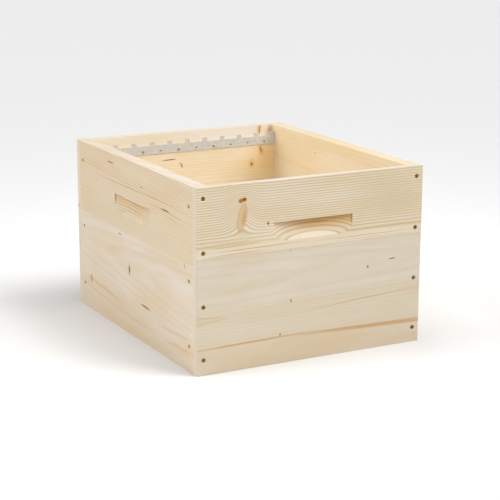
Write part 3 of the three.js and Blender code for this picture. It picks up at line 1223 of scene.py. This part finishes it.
def light_inside_shade_rim(g, wall, place, colour, upward):
    """Inner faces get painted light and are brighter, more so above the end walls' ledge; the rim
    gets painted shade and is a little duller.
    """
    _, v, z = g.split(place)
    deep = g.ramp(v, LIP / MM - 0.5, LIP / MM)
    inside = g.times(deep, g.math("SUBTRACT", 1.0, upward))
    # Painted light on the inner faces, stronger still above the end walls' ledge.
    colour = g.mix(inside, colour, INNER_PAINTED_LIGHT, "MULTIPLY")
    if wall in END_WALLS:
        high = g.ramp(z, (RIM - REST_DEPTH) / MM - 1, (RIM - REST_DEPTH) / MM)
        colour = g.mix(g.times(inside, high), colour, REBATE_PAINTED_LIGHT, "MULTIPLY")
    # Painted shade on the rim and other level faces.
    return g.mix(upward, colour, RIM_PAINTED_SHADE[wall], "MULTIPLY")


def spruce(name, wall, timber):
    """Bare planed spruce."""
    material, g, shader = new_material(name)
    place = wall_place(g, wall)
    bent = bend_grain(g, place, timber)
    rings = growth_rings(g, bent, timber)

    def pattern(size, detail, roughness=0.5):
        seed = (timber.seed * 31.0, timber.seed * 7.0, 0.0)
        at = g.vector("ADD", g.vector("DIVIDE", bent, size), seed)
        return g.noise(at, detail, roughness)

    patch = g.ramp(pattern(PATCH_SIZE, 2.0), 0.3, 0.7)
    band = g.noise(g.join(g.times(rings["Ring"], 0.6), timber.seed * 3.0, 0.0), 1.0)
    patch = g.math("MULTIPLY_ADD", g.math("SUBTRACT", band, 0.5), 0.8, patch, clamp=True)
    fade = g.ramp(pattern(FADE_SIZE, 1.0), 0.25, 0.7, 1.0 - 0.35 * timber.uneven, 1.0)
    fibre = pattern(FIBRE_SIZE, 3.0, 0.6)
    pore = pattern(PORE_SIZE, 2.0, 0.6)
    wear = edge_wear(g, place)
    across = end_grain(g, wall)
    upward = facing_up(g)

    line = g.times(rings["Line"], fade, g.all_but(0.6, wear), g.all_but(0.75, upward))
    colour = g.mix(patch, timber.pale, timber.warm)
    colour = g.mix(g.times(line, timber.contrast), colour, timber.late)
    colour = add_marks(g, wall, place, colour, timber)
    colour = g.mix(g.times(across, 0.55), colour, END_GRAIN)
    colour = g.mix(g.times(wear, 0.45), colour, WORN)
    # The handhold's pale core is partly painted light; browning mixed with painted shade darkens
    # its top.
    colour = handhold_shading_and_burn(g, place, colour, timber.hold_shading_and_burn, across)
    # Painted light on the inner faces and painted shade on the rim.
    colour = light_inside_shade_rim(g, wall, place, colour, upward)
    light_fibre = g.ramp(fibre, 0.2, 0.8, 0.955, 1.03)
    shade = g.times(light_fibre, g.ramp(pore, 0.2, 0.6, 0.96, 1.0))
    colour = g.mix(1.0, colour, g.join(shade, shade, shade), "MULTIPLY")

    g.feed(shader.inputs["Base Color"], colour)
    g.feed(shader.inputs["Roughness"], g.ramp(fibre, 0.2, 0.8, 0.56, 0.76))
    shader.inputs["IOR"].default_value = 1.45
    shader.inputs["Specular IOR Level"].default_value = 0.35
    relief = g.math("ADD", g.times(fibre, 0.5), g.times(line, 0.5))
    relief = g.math("MULTIPLY_ADD", pore, 0.3, relief)
    bump = g.node("Bump", {"Height": relief, "Strength": 0.5, "Distance": 0.12 * MM})
    g.feed(shader.inputs["Normal"], bump.outputs[0])
    return material


def metal(name, bright, dull, rough, grain, metallic=1.0):
    """Metal with a mottled or scratched finish. grain is the size of its pattern in mm."""
    material, g, shader = new_material(name)
    place = g.node("TexCoord").outputs["Object"]
    at = g.vector("DIVIDE", place, tuple(x * MM for x in grain))
    mottle = g.noise(at, 4.0, 0.6)
    wear = edge_wear(g, g.vector("SCALE", place, 1 / MM))
    colour = g.mix(g.ramp(mottle, 0.3, 0.7), bright, dull)
    g.feed(shader.inputs["Base Color"], g.mix(g.times(wear, 0.3), colour, bright))
    g.feed(shader.inputs["Roughness"], g.ramp(mottle, 0.3, 0.7, rough[0], rough[1]))
    shader.inputs["Metallic"].default_value = metallic
    bump = g.node("Bump", {"Height": mottle, "Strength": 0.4, "Distance": 0.05 * MM})
    g.feed(shader.inputs["Normal"], bump.outputs[0])
    return material


# ---------------- stage


FLOOR_REACH = 30
SKY_STRENGTH = 0.35

CAMERA_PLACE = (-1.2507, -2.36, 0.8053)
CAMERA_YAW = math.radians(28.22)
CAMERA_PITCH = math.radians(14.16)
CAMERA_ROLL = math.radians(0.273)
FOCAL_LENGTH = 109.94
SENSOR_WIDTH = 36


def make_floor():
    """Plain pale floor."""
    mesh = bmesh.new()
    bmesh.ops.create_grid(mesh, x_segments=2, y_segments=2, size=FLOOR_REACH)
    floor = new_piece("studio_floor", mesh)
    material, _, shader = new_material("studio_white")
    shader.inputs["Base Color"].default_value = (0.8, 0.8, 0.8, 1)
    shader.inputs["Roughness"].default_value = 0.9
    floor.data.materials.append(material)


def add_soft_light(name, azimuth, elevation, spread, strength):
    """Broad even light from one direction. Azimuth 0 comes from -Y and 90 from +X."""
    data = bpy.data.lights.new(name, "SUN")
    data.angle = math.radians(spread)
    data.energy = strength * math.pi
    tilt = math.radians(90 - elevation)
    add_object(name, data).rotation_euler = (tilt, 0, math.radians(azimuth))


def add_overhead_panel(height, size, power):
    """Square light that hangs above the box and shines down into it."""
    data = bpy.data.lights.new("panel", "AREA")
    data.size = size
    data.energy = power
    add_object("panel", data).location = (0, -0.1, height)


def make_lights():
    """White surroundings, a key from the front right, a fill from behind left, a panel above."""
    world = bpy.data.worlds.new("studio")
    world.use_nodes = True
    sky = world.node_tree.nodes["Background"].inputs
    sky["Color"].default_value = (1, 1, 1, 1)
    sky["Strength"].default_value = SKY_STRENGTH
    bpy.context.scene.world = world
    add_soft_light("key", azimuth=48, elevation=46, spread=38, strength=0.69)
    add_soft_light("fill", azimuth=-115, elevation=30, spread=42, strength=0.46)
    add_overhead_panel(height=1.3, size=0.7, power=8)


def make_camera():
    """Long lens, a little above the box and to its left."""
    data = bpy.data.cameras.new("camera")
    data.lens = FOCAL_LENGTH
    data.sensor_width = SENSOR_WIDTH
    camera = add_object("camera", data)
    turn = Matrix.Rotation(-CAMERA_YAW, 4, "Z")
    turn = turn @ Matrix.Rotation(math.pi / 2 - CAMERA_PITCH, 4, "X")
    turn = turn @ Matrix.Rotation(CAMERA_ROLL, 4, "Z")
    camera.matrix_world = Matrix.Translation(CAMERA_PLACE) @ turn
    bpy.context.scene.camera = camera
    bpy.context.scene.view_settings.view_transform = "Standard"


# ---------------- assembly

make_camera()
make_lights()
make_floor()

wood = {}
for wall_name in WALL_AXES:
    for level_name in ("lower", "upper"):
        key = f"{wall_name}_{level_name}"
        wood[f"{key}_board"] = spruce(f"spruce_{key}", wall_name, TIMBER[key])
galvanised = metal(
    "galvanised", srgb(216, 214, 209), srgb(205, 202, 196), (0.5, 0.65), (9, 9, 9), metallic=0.3
)
yellow_zinc = metal(
    "yellow_zinc", srgb(214, 182, 88), srgb(170, 132, 50), (0.35, 0.5), (1, 1, 1), metallic=0.7
)
bright_steel = metal(
    "bright_steel", srgb(210, 206, 200), srgb(150, 140, 128), (0.25, 0.5), (1, 1, 1)
)
rusty_steel = metal(
    "rusty_steel", srgb(166, 118, 70), srgb(118, 78, 42), (0.6, 0.8), (1, 1, 1), metallic=0.2
)

for wall_name in WALL_AXES:
    for level_name in ("lower", "upper"):
        make_board(wall_name, level_name, wood)
for wall_name in END_WALLS:
    make_strip(wall_name, galvanised)
for screw_node in nodes_named("screw_"):
    make_screw(screw_node, yellow_zinc)
for nail_node in nodes_named("nail_"):
    make_nail(nail_node, rusty_steel)
for tack_node in nodes_named("tack_"):
    make_tack(tack_node, bright_steel)

bpy.context.view_layer.update()
